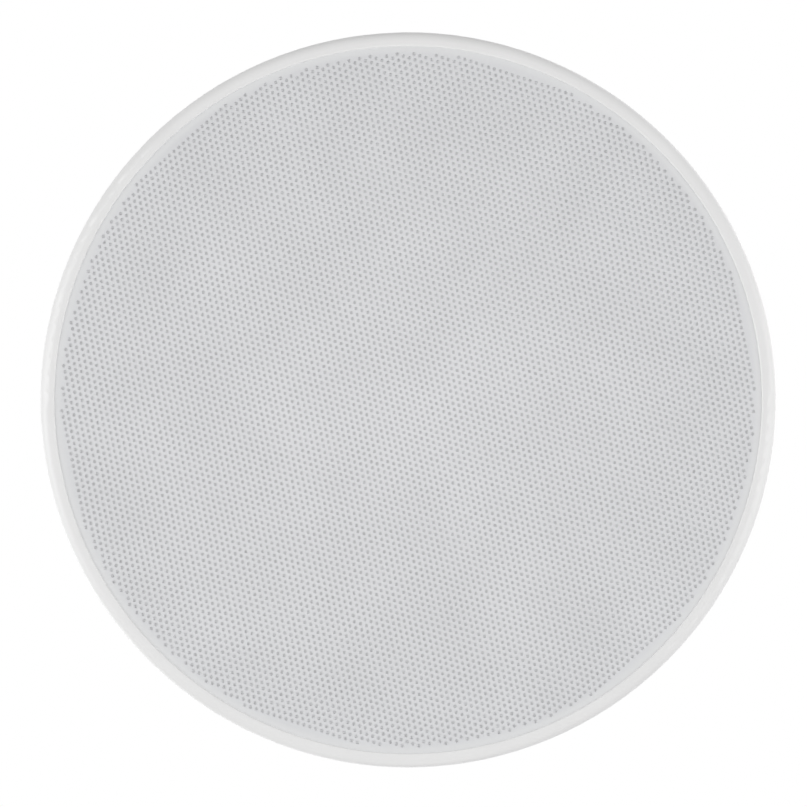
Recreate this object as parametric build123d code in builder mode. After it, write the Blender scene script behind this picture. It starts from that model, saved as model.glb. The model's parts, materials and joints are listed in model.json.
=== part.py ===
# Round in-ceiling loudspeaker with a slim bezel and a magnetic perforated grille.
# Millimetres, +Z up into the ceiling void, z = 0 on the ceiling's lower face, the grille faces down.
import os
from math import asin, cos, degrees, radians, sin, sqrt

from build123d import *

# Woofer chassis
basket_sheet = 1.2
basket_bend_radius = 2.0
basket_throat_gap = 1.0
basket_throat_height = 7.0
basket_flange_width = 11.0
basket_ledge_width = 11.0
basket_ledge_height = 26.0
basket_cup_radius = 37.0
basket_depth = 33.2
basket_mouth_gap = 1.0
basket_window_count = 6
basket_spoke_width = 15.0
basket_window_margin = 2.8
woofer_screw_count = 6
woofer_screw_start = 45.0
woofer_screw_inset = 3.6

# Woofer cone, surround and spider
surround_roll_circle = 66.0
surround_roll_radius = 5.0
surround_sheet = 0.8
surround_lip_width = 4.6
surround_glue_width = 3.4
cone_sheet = 0.9
cone_depth = 23.4
cone_neck_length = 1.8
dust_cap_radius = 20.0
dust_cap_rise = 6.5
dust_cap_sheet = 0.5
dust_cap_gap = 0.6
spider_sheet = 0.6
spider_edge_gap = 3.0
spider_lip_gap = 1.0
spider_wave_count = 5
spider_wave_height = 1.5
spider_neck_width = 2.0

# Woofer motor
pole_radius = 12.2
pole_vent_radius = 3.5
former_gap = 0.45
former_sheet = 0.25
former_lead = 1.0
winding_thickness = 0.65
winding_length = 12.0
winding_gap = 0.55
glue_gap = 0.1
front_plate_overhang = 4.8
front_plate_thickness = 5.0
ferrite_inner_radius = 24.0
ferrite_overhang = 2.0
ferrite_thickness = 15.0
ferrite_chamfer = 1.0
back_plate_thickness = 5.0
back_plate_chamfer = 1.2

# Tags that the woofer's wires are soldered to
tag_strip_length = 16.0
tag_strip_width = 5.0
tag_strip_thickness = 1.6
tag_strip_gap = 1.0
tag_width = 4.0
tag_sheet = 0.8
tag_height = 4.4
tag_spacing = 9.0

# Moulded frame
woofer_edge_gap = 3.0
shelf_gap = 0.8
shelf_thickness = 2.5
well_wall = 2.5
woofer_seat_z = 14.0
channel_width = 13.0
collar_wall = 2.5
collar_rise = 7.2
collar_tip_chamfer = 0.8
flange_width = 14.0
flange_thickness = 2.4
bezel_width = 4.9
bezel_height = 6.0
bezel_outer_round = 3.2
bezel_inner_round = 0.6
rib_thickness = 2.0
rib_angles = (20, 34, 56, 70)

# Grille, its cloth and its magnets
grille_gap = 0.4
grille_sink = 0.4
grille_sheet = 0.6
grille_edge_round = 1.2
grille_border = 2.6
grille_row_angle = 18.3
grille_hole_pitch = 19.4
grille_hole_radius = 5.6
grille_hole_sides = 6
scrim_thickness = 0.4
scrim_edge_gap = 0.3
magnet_count = 8
magnet_radius = 3.0
magnet_thickness = 1.5
magnet_edge_gap = 0.5

# Swing clamps
clamp_count = 4
clamp_start_angle = 5.5
clamp_screw_radius = 2.0
clamp_screw_fit = 0.06
clamp_head_radius = 3.8
clamp_head_height = 1.5
clamp_socket_length = 4.0
clamp_socket_width = 0.9
clamp_socket_depth = 1.0
clamp_boss_radius = 5.0
clamp_boss_height = 2.6
clamp_tab_thickness = 3.0
clamp_tab_width = 13.0
clamp_rest_gap = 1.3
clamp_nut_wall = 1.5
clamp_nut_fit = 0.06
clamp_nut_collar_width = 1.7
clamp_nut_collar_height = 1.2
arm_channel_gap = 0.8
arm_length = 25.0
arm_root_width = 9.0
arm_tip_width = 7.0
arm_tip_round = 2.4
arm_height = 11.0
arm_tip_height = 6.5
arm_stow_angle = -98.0
arm_grip_count = 4
arm_grip_pitch = 2.6
arm_grip_width = 1.2
arm_grip_depth = 0.8
window_margin = 2.4
window_floor = 2.6

# Tweeter
tweeter_cup_radius = 20.0
tweeter_cup_wall = 1.6
tweeter_cup_side = 6.7
tweeter_cup_back_radius = 16.0
tweeter_cup_depth = 12.2
tweeter_front_drop = 5.0
tweeter_face_thickness = 1.8
tweeter_face_round = 0.8
tweeter_mouth_gap = 0.6
tweeter_mouth_chamfer = 1.0
tweeter_dome_radius = 10.0
tweeter_dome_rise = 3.2
tweeter_dome_sheet = 0.35
tweeter_dome_lip = 2.2
tweeter_pole_radius = 8.9
tweeter_pole_thickness = 1.8
tweeter_pole_sink = 0.6
tweeter_coil_gap = 0.6
tweeter_coil_sheet = 0.5
tweeter_coil_height = 3.2
tweeter_magnet_radius = 8.6
tweeter_magnet_thickness = 3.0
tweeter_yoke_wall = 1.8
tweeter_yoke_floor = 2.2

# Tweeter bridge and swivel
tweeter_tilt = 15.0
tweeter_tilt_clearance = 0.9
swivel_clearance = 3.4
swivel_wall = 2.4
swivel_height = 9.4
swivel_fit = 0.3
swivel_shoulder = 1.6
swivel_shoulder_lip = 1.8
retainer_thickness = 1.4
retainer_fit = 0.1
trunnion_radius = 1.6
trunnion_fit = 0.06
trunnion_end_gap = 0.4
bridge_angle = 90.0
bridge_bar_depth = 4.0
bridge_bar_width = 11.0
bridge_collar_wall = 2.7
bridge_leg_thickness = 3.4
bridge_foot_depth = 3.0
bridge_foot_gap = 0.9
bridge_foot_edge = 1.0
bridge_foot_width = 25.0
bridge_screw_spread = 17.0

# Crossover board and its parts, placed from the board's middle
service_angle = 45.0
post_radius = 4.0
board_post_angle = 20.0
board_post_offset = 4.0
board_width = 44.0
board_length = 72.0
board_thickness = 1.6
board_corner = 3.0
board_tab_offset = 18.0
board_tab_width = 13.0
board_tab_thickness = 3.0
air_coil_place = (-9.3, -17.5)
air_coil_radius = 12.0
air_coil_inner_radius = 6.0
air_coil_height = 11.0
air_coil_round = 1.5
drum_place = (-7.5, 13.0)
drum_radius = 10.0
drum_waist_radius = 5.0
drum_winding_radius = 8.6
drum_height = 15.0
drum_flange = 2.0
can_place = (13.2, 14.0)
can_radius = 6.0
can_length = 17.0
can_seat_gap = 0.1
can_crimp_depth = 0.6
can_crimp_inset = 3.0
film_place = (13.2, -13.5)
film_size = (8.0, 15.0, 13.0)
film_round = 1.0
resistor_place = (-11.4, 30.2)
resistor_size = (20.0, 7.0, 7.0)
resistor_round = 0.6

# Push terminals
terminal_post_angle = 17.5
terminal_width = 24.0
terminal_length = 38.0
terminal_height = 14.0
terminal_round = 1.5
terminal_foot_width = 12.0
terminal_foot_reach = 5.0
terminal_foot_height = 3.0
lever_width = 11.0
lever_length = 13.0
lever_depth = 9.0
lever_rise = 4.5
lever_spacing = 17.0
lever_travel = 3.0
lever_fit = 0.35
lever_floor_gap = 0.5
lever_round = 1.5
lever_groove_count = 3
lever_groove_pitch = 2.6
lever_groove_width = 1.1
lever_groove_depth = 0.7
wire_slot_width = 4.0
wire_slot_height = 2.8
wire_slot_rise = 4.8

# Small screws
screw_radius = 1.4
screw_fit = 0.3
screw_head_radius = 3.0
screw_head_height = 1.6
screw_length = 7.0
screw_pilot_extra = 2.0
screw_slot_width = 0.9
screw_slot_depth = 0.8

# Radii worked outwards from the woofer
roll_outer_radius = surround_roll_circle + surround_roll_radius
roll_inner_radius = surround_roll_circle - surround_roll_radius
surround_radius = roll_outer_radius + surround_lip_width
cone_lip_radius = roll_inner_radius - surround_glue_width
former_inner_radius = pole_radius + former_gap
former_radius = former_inner_radius + former_sheet
winding_radius = former_radius + winding_thickness
gap_radius = winding_radius + winding_gap
neck_radius = former_radius + glue_gap
basket_throat_radius = roll_outer_radius + basket_throat_gap
basket_radius = basket_throat_radius + basket_flange_width
basket_ledge_radius = basket_cup_radius + basket_ledge_width
spider_radius = basket_ledge_radius - spider_edge_gap
front_plate_radius = basket_cup_radius + basket_sheet + front_plate_overhang
ferrite_radius = front_plate_radius + ferrite_overhang
woofer_screw_circle = basket_radius - woofer_screw_inset
shelf_radius = basket_throat_radius + basket_sheet + shelf_gap
well_radius = basket_radius + woofer_edge_gap
well_outer_radius = well_radius + well_wall
collar_inner_radius = well_outer_radius + channel_width
collar_radius = collar_inner_radius + collar_wall
bezel_radius = collar_radius + flange_width
bezel_inner_radius = bezel_radius - bezel_width
grille_radius = bezel_inner_radius - grille_gap
magnet_circle = bezel_inner_radius - magnet_edge_gap - magnet_radius
clamp_circle = (well_outer_radius + collar_inner_radius) / 2
arm_hub_radius = channel_width / 2 - arm_channel_gap
nut_radius = clamp_screw_radius + clamp_nut_wall
post_circle = (shelf_radius + well_outer_radius) / 2

# Heights worked from the ceiling plane
plate_z = -flange_thickness
grille_front_z = grille_sink - bezel_height
grille_back_z = grille_front_z + grille_sheet
scrim_back_z = grille_back_z + scrim_thickness
shelf_back_z = woofer_seat_z + shelf_thickness
basket_front_z = woofer_seat_z - basket_sheet
ledge_z = basket_front_z + basket_ledge_height
collar_height = ledge_z + collar_rise
neck_z = basket_front_z + cone_depth
front_plate_z = basket_front_z + basket_depth + basket_sheet
ferrite_z = front_plate_z + front_plate_thickness
back_plate_z = ferrite_z + ferrite_thickness
gap_middle_z = front_plate_z + front_plate_thickness / 2
clamp_tab_z = collar_height - clamp_tab_thickness
clamp_rest_z = clamp_tab_z - clamp_rest_gap - clamp_nut_collar_height - arm_height
tilt = radians(tweeter_tilt)
tilt_drop = tweeter_front_drop * cos(tilt) + tweeter_cup_radius * sin(tilt)
pivot_z = scrim_back_z + tweeter_tilt_clearance + tilt_drop
tweeter_front_z = pivot_z - tweeter_front_drop
tweeter_rest_z = tweeter_front_z + tweeter_face_thickness
tweeter_yoke_z = tweeter_rest_z + tweeter_dome_sheet
tweeter_pole_z = tweeter_yoke_z + tweeter_pole_sink
tweeter_magnet_z = tweeter_pole_z + tweeter_pole_thickness
tweeter_floor_z = tweeter_magnet_z + tweeter_magnet_thickness
swivel_front_z = pivot_z - swivel_height / 2
swivel_back_z = pivot_z + swivel_height / 2
board_top_z = collar_height + board_thickness
terminal_top_z = collar_height + terminal_height

# Swivel and bridge radii worked outwards from the tweeter
swivel_inner_radius = sqrt(tweeter_cup_radius**2 + tweeter_front_drop**2) + swivel_clearance
swivel_radius = swivel_inner_radius + swivel_wall
bridge_bore_radius = swivel_radius + swivel_fit
bridge_collar_radius = bridge_bore_radius + bridge_collar_wall
bridge_leg_radius = surround_radius + bridge_foot_gap
bridge_foot_radius = basket_radius - bridge_foot_edge
tweeter_coil_inner_radius = tweeter_pole_radius + tweeter_coil_gap
tweeter_coil_radius = tweeter_coil_inner_radius + tweeter_coil_sheet
tweeter_yoke_inner_radius = tweeter_coil_radius + tweeter_coil_gap
tweeter_yoke_radius = tweeter_yoke_inner_radius + tweeter_yoke_wall


def polar(radius, angle):
    return (radius * cos(radians(angle)), radius * sin(radians(angle)))


clamp_angles = [clamp_start_angle + 360 * k / clamp_count for k in range(clamp_count)]
board_posts = [polar(post_circle, side * board_post_angle) for side in (1, -1)]
board_middle = board_posts[0][0] - board_post_offset
board_tab_place = (board_middle + board_tab_offset, 0)
terminal_posts = [polar(post_circle, 180 + side * terminal_post_angle) for side in (-1, 1)]
terminal_middle = terminal_posts[0][0]
lever_places = [(terminal_middle, lever_spacing / 2), (terminal_middle, -lever_spacing / 2)]
bridge_screw_radius = (bridge_leg_radius + bridge_foot_radius) / 2
bridge_screw_angle = degrees(asin(bridge_screw_spread / 2 / bridge_screw_radius))
bridge_screw_places = [
    polar(bridge_screw_radius, bridge_angle + half_turn + side)
    for half_turn in (0, 180)
    for side in (bridge_screw_angle, -bridge_screw_angle)
]
woofer_screw_places = [
    polar(woofer_screw_circle, woofer_screw_start + 360 * k / woofer_screw_count)
    for k in range(woofer_screw_count)
]

os.makedirs("parts", exist_ok=True)


def save(piece, name):
    piece.part.label = name
    export_step(piece.part, f"parts/{name}.step")


def clamp_plane(angle, height, turn=0):
    return Plane(
        origin=(*polar(clamp_circle, angle), height),
        x_dir=(*polar(1, angle + turn), 0),
        z_dir=(0, 0, 1),
    )


def upright(plane):
    return Plane(origin=plane.origin, x_dir=plane.x_dir, z_dir=-plane.y_dir)


def service_plane(height):
    return Plane.XY.rotated((0, 0, service_angle)).offset(height)


def board_place(offset):
    return (board_middle + offset[0], offset[1])


def cone_front_z(radius):
    slope = (neck_z - basket_front_z) / (cone_lip_radius - neck_radius)
    return basket_front_z + (cone_lip_radius - radius) * slope


def cap_arc(radius, rise, rim_z):
    sphere = (radius**2 + rise**2) / (2 * rise)
    half = asin(radius / sphere) / 2
    middle = (sphere * sin(half), rim_z - rise + sphere * (1 - cos(half)))
    return (radius, rim_z), middle, (0, rim_z - rise)


def staggered(pitch, reach):
    rows = int(reach / pitch) + 1
    for row in range(-rows, rows + 1):
        for step in range(-2 * rows, 2 * rows + 1):
            x = (step + row / 2) * pitch
            y = row * pitch * sqrt(3) / 2
            if sqrt(x * x + y * y) <= reach:
                yield x, y


# Frame: one moulding with the bezel, the flange, the collar, the woofer well and the shelf.
# Its section is drawn between two arm windows, so its seam lies in whole walls.
with BuildPart() as frame:
    with BuildSketch(Plane.XZ.rotated((0, 0, service_angle))):
        with BuildLine():
            Polyline(
                (bezel_radius, 0),
                (bezel_radius, -bezel_height),
                (bezel_inner_radius, -bezel_height),
                (bezel_inner_radius, plate_z),
                (well_radius, plate_z),
                (well_radius, woofer_seat_z),
                (shelf_radius, woofer_seat_z),
                (shelf_radius, shelf_back_z),
                (well_outer_radius, shelf_back_z),
                (well_outer_radius, 0),
                (collar_inner_radius, 0),
                (collar_inner_radius, collar_height),
                (collar_radius, collar_height),
                (collar_radius, 0),
                close=True,
            )
        make_face()
    revolve(axis=Axis.Z)
    crest = frame.edges().filter_by(GeomType.CIRCLE).group_by(Axis.Z)[0].sort_by(SortBy.RADIUS)
    fillet(crest[-1], bezel_outer_round)
    crest = frame.edges().filter_by(GeomType.CIRCLE).group_by(Axis.Z)[0].sort_by(SortBy.RADIUS)
    fillet(crest[0], bezel_inner_round)
    tip = frame.edges().filter_by(GeomType.CIRCLE).group_by(Axis.Z)[-1].sort_by(SortBy.RADIUS)
    chamfer(tip[-1], collar_tip_chamfer)

    # Windows that the clamp arms swing out through
    window_front = arm_hub_radius + window_margin
    window_back = arm_length + window_margin
    window_depth = 2 * (collar_radius - clamp_circle)
    for angle in clamp_angles:
        with BuildSketch(clamp_plane(angle, window_floor)):
            with Locations((window_depth / 2, (window_front - window_back) / 2)):
                Rectangle(window_depth, window_front + window_back)
        extrude(amount=clamp_tab_z - window_floor, mode=Mode.SUBTRACT)

    # Tabs and bosses that hold the two ends of each clamp screw
    tab_end = collar_inner_radius + collar_wall / 2 - clamp_circle
    for angle in clamp_angles:
        with BuildSketch(clamp_plane(angle, clamp_tab_z)):
            with Locations(((tab_end - clamp_tab_width / 2) / 2, 0)):
                Rectangle(tab_end + clamp_tab_width / 2, clamp_tab_width)
        extrude(amount=clamp_tab_thickness)
        with BuildSketch(clamp_plane(angle, 0)):
            Circle(clamp_boss_radius)
        extrude(amount=clamp_boss_height)
        with BuildSketch(clamp_plane(angle, plate_z)):
            Circle(clamp_screw_radius + clamp_screw_fit)
        extrude(amount=collar_height + flange_thickness, mode=Mode.SUBTRACT)
        with BuildSketch(clamp_plane(angle, plate_z)):
            Circle(clamp_head_radius + screw_fit)
        extrude(amount=clamp_head_height, mode=Mode.SUBTRACT)

    # Radial ribs between the woofer well and the collar
    for start in rib_angles:
        with BuildSketch(Plane.XY):
            with PolarLocations(clamp_circle, clamp_count, start_angle=start):
                Rectangle(channel_width + collar_wall, rib_thickness)
        extrude(amount=shelf_back_z)

    # Posts and a tab for the crossover board and the terminals
    with BuildSketch(service_plane(shelf_back_z)):
        with Locations(*board_posts, *terminal_posts):
            Circle(post_radius)
    extrude(amount=collar_height - shelf_back_z)
    board_tab_inner = board_tab_place[0] - board_tab_width / 2
    board_tab_outer = collar_inner_radius + collar_wall / 2
    with BuildSketch(service_plane(collar_height - board_tab_thickness)):
        with Locations(((board_tab_inner + board_tab_outer) / 2, 0)):
            Rectangle(board_tab_outer - board_tab_inner, board_tab_width)
    extrude(amount=board_tab_thickness)
    with BuildSketch(service_plane(collar_height)):
        with Locations(*board_posts, *terminal_posts, board_tab_place):
            Circle(screw_radius + screw_fit)
    extrude(amount=-screw_length - screw_pilot_extra, mode=Mode.SUBTRACT)

    # Magnet pockets in the grille seat, and screw holes in the shelf
    with BuildSketch(Plane.XY.offset(plate_z)):
        with PolarLocations(magnet_circle, magnet_count, start_angle=180 / magnet_count):
            Circle(magnet_radius)
    extrude(amount=magnet_thickness, mode=Mode.SUBTRACT)
    with BuildSketch(Plane.XY.offset(woofer_seat_z)):
        with Locations(*woofer_screw_places, *bridge_screw_places):
            Circle(screw_radius + screw_fit)
    extrude(amount=shelf_thickness, mode=Mode.SUBTRACT)
save(frame, "frame")

# Grille: a shallow steel pan with a staggered field of holes and a rolled edge
with BuildPart() as grille:
    with BuildSketch(Plane.XZ):
        with BuildLine():
            Polyline(
                (0, grille_front_z),
                (grille_radius, grille_front_z),
                (grille_radius, plate_z),
                (grille_radius - grille_sheet, plate_z),
                (grille_radius - grille_sheet, grille_back_z),
                (0, grille_back_z),
                close=True,
            )
        make_face()
    revolve(axis=Axis.Z)
    fillet(grille.edges().filter_by(GeomType.CIRCLE).group_by(Axis.Z)[0], grille_edge_round)
    field_reach = grille_radius - grille_border - grille_hole_radius
    with BuildSketch(Plane.XY.offset(grille_front_z).rotated((0, 0, grille_row_angle))):
        with Locations(*staggered(grille_hole_pitch, field_reach)):
            RegularPolygon(grille_hole_radius, grille_hole_sides)
    extrude(amount=grille_sheet, mode=Mode.SUBTRACT)
save(grille, "grille")

# Acoustic cloth bonded to the back of the grille
with BuildPart() as grille_scrim:
    with BuildSketch(Plane.XY.offset(grille_back_z)):
        Circle(grille_radius - grille_sheet - scrim_edge_gap)
    extrude(amount=scrim_thickness)
save(grille_scrim, "grille_scrim")

# Disc magnets let into the grille seat
with BuildPart() as grille_magnets:
    with BuildSketch(Plane.XY.offset(plate_z)):
        with PolarLocations(magnet_circle, magnet_count, start_angle=180 / magnet_count):
            Circle(magnet_radius)
    extrude(amount=magnet_thickness)
save(grille_magnets, "grille_magnets")

# Swing clamps: a screw, a threaded nut and an arm at each of the four places
for number, angle in enumerate(clamp_angles, start=1):
    with BuildPart() as clamp_screw:
        with BuildSketch(clamp_plane(angle, plate_z)):
            Circle(clamp_head_radius)
        extrude(amount=clamp_head_height)
        with BuildSketch(clamp_plane(angle, plate_z)):
            Circle(clamp_screw_radius)
        extrude(amount=collar_height + flange_thickness)
        chamfer(clamp_screw.edges().group_by(Axis.Z)[-1], clamp_screw_radius / 4)
        with BuildSketch(clamp_plane(angle, plate_z)):
            Rectangle(clamp_socket_length, clamp_socket_width)
            Rectangle(clamp_socket_width, clamp_socket_length)
        extrude(amount=clamp_socket_depth, mode=Mode.SUBTRACT)
    save(clamp_screw, f"clamp_screw_{number}")

    with BuildPart() as clamp_nut:
        with BuildSketch(clamp_plane(angle, clamp_rest_z)):
            Circle(nut_radius)
        extrude(amount=arm_height)
        with BuildSketch(clamp_plane(angle, clamp_rest_z + arm_height)):
            Circle(nut_radius + clamp_nut_collar_width)
        extrude(amount=clamp_nut_collar_height)
        with BuildSketch(clamp_plane(angle, clamp_rest_z)):
            Circle(clamp_screw_radius + clamp_screw_fit)
        extrude(amount=arm_height + clamp_nut_collar_height, mode=Mode.SUBTRACT)
    save(clamp_nut, f"clamp_nut_{number}")

    arm_plane = clamp_plane(angle, clamp_rest_z, arm_stow_angle)
    with BuildPart() as clamp_arm:
        with BuildSketch(arm_plane):
            Circle(arm_hub_radius)
            with BuildLine():
                Polyline(
                    (0, arm_root_width / 2),
                    (arm_length, arm_tip_width / 2),
                    (arm_length, -arm_tip_width / 2),
                    (0, -arm_root_width / 2),
                    close=True,
                )
            make_face()
        extrude(amount=arm_height)
        fillet(clamp_arm.edges().filter_by(Axis.Z).sort_by_distance(arm_plane.origin)[-2:], arm_tip_round)
        with BuildSketch(upright(arm_plane)):
            with BuildLine():
                Polyline(
                    (arm_hub_radius, arm_height),
                    (arm_length, arm_tip_height),
                    (arm_length, arm_height),
                    close=True,
                )
            make_face()
        extrude(amount=arm_root_width, both=True, mode=Mode.SUBTRACT)
        with BuildSketch(arm_plane):
            with Locations(*[(arm_length - arm_grip_pitch * (k + 1), 0) for k in range(arm_grip_count)]):
                Rectangle(arm_grip_width, arm_root_width)
        extrude(amount=arm_grip_depth, mode=Mode.SUBTRACT)
        with BuildSketch(arm_plane):
            Circle(nut_radius + clamp_nut_fit)
        extrude(amount=arm_height, mode=Mode.SUBTRACT)
    save(clamp_arm, f"clamp_arm_{number}")

# Woofer basket: a pressed steel bowl with spokes, a spider ledge and a motor seat
with BuildPart() as woofer_basket:
    with BuildSketch(Plane.XZ):
        with BuildLine():
            FilletPolyline(
                (basket_radius, basket_front_z),
                (basket_throat_radius, basket_front_z),
                (basket_throat_radius, basket_front_z + basket_throat_height),
                (basket_ledge_radius, ledge_z),
                (basket_cup_radius, ledge_z),
                (basket_cup_radius, basket_front_z + basket_depth),
                (gap_radius + basket_mouth_gap, basket_front_z + basket_depth),
                radius=basket_bend_radius,
            )
            offset(amount=basket_sheet, side=Side.RIGHT)
        make_face()
    revolve(axis=Axis.Z)
    basket_window_z = basket_front_z + basket_throat_height + basket_window_margin
    with BuildSketch(Plane.XY.offset(basket_window_z)):
        Circle(basket_radius)
        Circle(basket_cup_radius + basket_bend_radius, mode=Mode.SUBTRACT)
        with PolarLocations(basket_radius / 2, basket_window_count):
            Rectangle(basket_radius, basket_spoke_width, mode=Mode.SUBTRACT)
    extrude(amount=ledge_z - basket_window_margin - basket_window_z, mode=Mode.SUBTRACT)
    with BuildSketch(Plane.XY.offset(basket_front_z)):
        with Locations(*woofer_screw_places, *bridge_screw_places):
            Circle(screw_radius + screw_fit)
    extrude(amount=basket_sheet, mode=Mode.SUBTRACT)
save(woofer_basket, "woofer_basket")

# Rubber surround: a half roll between two flat lips
surround_front_z = basket_front_z - surround_sheet
with BuildPart() as woofer_surround:
    with BuildSketch(Plane.XZ):
        with BuildLine():
            Line((surround_radius, surround_front_z), (roll_outer_radius, surround_front_z))
            ThreePointArc(
                (roll_outer_radius, surround_front_z),
                (surround_roll_circle, surround_front_z - surround_roll_radius),
                (roll_inner_radius, surround_front_z),
            )
            Line((roll_inner_radius, surround_front_z), (cone_lip_radius, surround_front_z))
            offset(amount=surround_sheet, side=Side.RIGHT)
        make_face()
    revolve(axis=Axis.Z)
save(woofer_surround, "woofer_surround")

# Cone with a flat glue lip and a neck round the coil former
with BuildPart() as woofer_cone:
    with BuildSketch(Plane.XZ):
        with BuildLine():
            Polyline(
                (roll_inner_radius, basket_front_z),
                (cone_lip_radius, basket_front_z),
                (neck_radius, neck_z),
                (neck_radius, neck_z + cone_neck_length),
            )
            offset(amount=cone_sheet, side=Side.RIGHT, kind=Kind.INTERSECTION)
        make_face()
    revolve(axis=Axis.Z)
save(woofer_cone, "woofer_cone")

# Dust cap: a shallow dome over the cone's neck
dust_cap_rim_z = cone_front_z(dust_cap_radius) - dust_cap_gap
with BuildPart() as woofer_dust_cap:
    with BuildSketch(Plane.XZ):
        with BuildLine():
            ThreePointArc(*cap_arc(dust_cap_radius, dust_cap_rise, dust_cap_rim_z))
            offset(amount=dust_cap_sheet, side=Side.RIGHT)
        make_face()
    revolve(axis=Axis.Z)
save(woofer_dust_cap, "woofer_dust_cap")

# Spider: a corrugated cloth disc from the basket's ledge to the coil former
spider_front_z = ledge_z - spider_sheet
wave_outer_radius = basket_cup_radius - spider_lip_gap
wave_inner_radius = neck_radius + spider_neck_width
wave_step = (wave_outer_radius - wave_inner_radius) / (2 * spider_wave_count)
wave_points = [
    (wave_outer_radius - wave_step * (k + 0.5), spider_front_z - spider_wave_height / 2 * (-1) ** k)
    for k in range(2 * spider_wave_count)
]
with BuildPart() as woofer_spider:
    with BuildSketch(Plane.XZ):
        with BuildLine():
            Polyline(
                (spider_radius, spider_front_z),
                (wave_outer_radius, spider_front_z),
                *wave_points,
                (wave_inner_radius, spider_front_z),
                (neck_radius, spider_front_z),
            )
            offset(amount=spider_sheet, side=Side.RIGHT, kind=Kind.INTERSECTION)
        make_face()
    revolve(axis=Axis.Z)
save(woofer_spider, "woofer_spider")

# Voice coil: a thin former with the winding on it
winding_z = gap_middle_z - winding_length / 2
with BuildPart() as voice_coil_former:
    with BuildSketch(Plane.XY.offset(neck_z - former_lead)):
        Circle(former_radius)
        Circle(former_inner_radius, mode=Mode.SUBTRACT)
    extrude(amount=winding_z + winding_length + 2 * former_lead - neck_z)
save(voice_coil_former, "voice_coil_former")

with BuildPart() as voice_coil_winding:
    with BuildSketch(Plane.XY.offset(winding_z)):
        Circle(winding_radius)
        Circle(former_radius, mode=Mode.SUBTRACT)
    extrude(amount=winding_length)
save(voice_coil_winding, "voice_coil_winding")

# Motor: front plate, ferrite ring and a back plate with its vented pole
with BuildPart() as front_plate:
    with BuildSketch(Plane.XY.offset(front_plate_z)):
        Circle(front_plate_radius)
        Circle(gap_radius, mode=Mode.SUBTRACT)
    extrude(amount=front_plate_thickness)
save(front_plate, "front_plate")

with BuildPart() as ferrite_magnet:
    with BuildSketch(Plane.XY.offset(ferrite_z)):
        Circle(ferrite_radius)
        Circle(ferrite_inner_radius, mode=Mode.SUBTRACT)
    extrude(amount=ferrite_thickness)
    chamfer(ferrite_magnet.edges().filter_by(GeomType.CIRCLE).sort_by(SortBy.RADIUS)[-2:], ferrite_chamfer)
save(ferrite_magnet, "ferrite_magnet")

with BuildPart() as pole_yoke:
    with BuildSketch(Plane.XZ):
        with BuildLine():
            Polyline(
                (pole_vent_radius, front_plate_z),
                (pole_radius, front_plate_z),
                (pole_radius, back_plate_z),
                (front_plate_radius, back_plate_z),
                (front_plate_radius, back_plate_z + back_plate_thickness),
                (pole_vent_radius, back_plate_z + back_plate_thickness),
                close=True,
            )
        make_face()
    revolve(axis=Axis.Z)
    rim = pole_yoke.edges().filter_by(GeomType.CIRCLE).group_by(Axis.Z)[-1].sort_by(SortBy.RADIUS)
    chamfer(rim[-1], back_plate_chamfer)
save(pole_yoke, "pole_yoke")

# Tag strip on the back of the spider ledge
tag_strip_z = ledge_z + basket_sheet
tag_strip_x = basket_cup_radius + basket_sheet + basket_bend_radius + tag_strip_gap + tag_strip_width / 2
with BuildPart() as woofer_tag_strip:
    with BuildSketch(service_plane(tag_strip_z)):
        with Locations((tag_strip_x, 0)):
            Rectangle(tag_strip_width, tag_strip_length)
    extrude(amount=tag_strip_thickness)
save(woofer_tag_strip, "woofer_tag_strip")

with BuildPart() as woofer_tags:
    with BuildSketch(service_plane(tag_strip_z + tag_strip_thickness)):
        with Locations((tag_strip_x, tag_spacing / 2), (tag_strip_x, -tag_spacing / 2)):
            Rectangle(tag_sheet, tag_width)
    extrude(amount=tag_height)
save(woofer_tags, "woofer_tags")

# Bridge across the woofer, with a collar for the tweeter's swivel
bridge_plane = Plane.XY.rotated((0, 0, bridge_angle))
with BuildPart() as tweeter_bridge:
    with BuildSketch(bridge_plane.offset(plate_z)):
        Rectangle(2 * (bridge_leg_radius + bridge_leg_thickness), bridge_bar_width)
    extrude(amount=bridge_bar_depth)
    with BuildSketch(bridge_plane.offset(plate_z)):
        Circle(bridge_collar_radius)
    extrude(amount=swivel_back_z + swivel_shoulder - plate_z)
    with BuildSketch(bridge_plane.offset(plate_z)):
        with PolarLocations(bridge_leg_radius + bridge_leg_thickness / 2, 2):
            Rectangle(bridge_leg_thickness, bridge_bar_width)
    extrude(amount=basket_front_z - plate_z)
    with BuildSketch(bridge_plane.offset(basket_front_z - bridge_foot_depth)):
        with PolarLocations((bridge_leg_radius + bridge_foot_radius) / 2, 2):
            Rectangle(bridge_foot_radius - bridge_leg_radius, bridge_foot_width)
    extrude(amount=bridge_foot_depth)
    with BuildSketch(bridge_plane.offset(plate_z)):
        Circle(bridge_bore_radius)
    extrude(amount=swivel_back_z - plate_z, mode=Mode.SUBTRACT)
    with BuildSketch(bridge_plane.offset(swivel_back_z)):
        Circle(bridge_bore_radius - swivel_shoulder_lip)
    extrude(amount=swivel_shoulder, mode=Mode.SUBTRACT)
    with BuildSketch(Plane.XY.offset(basket_front_z - bridge_foot_depth)):
        with Locations(*bridge_screw_places):
            Circle(screw_radius + screw_fit)
    extrude(amount=bridge_foot_depth, mode=Mode.SUBTRACT)
save(tweeter_bridge, "tweeter_bridge")

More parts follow.
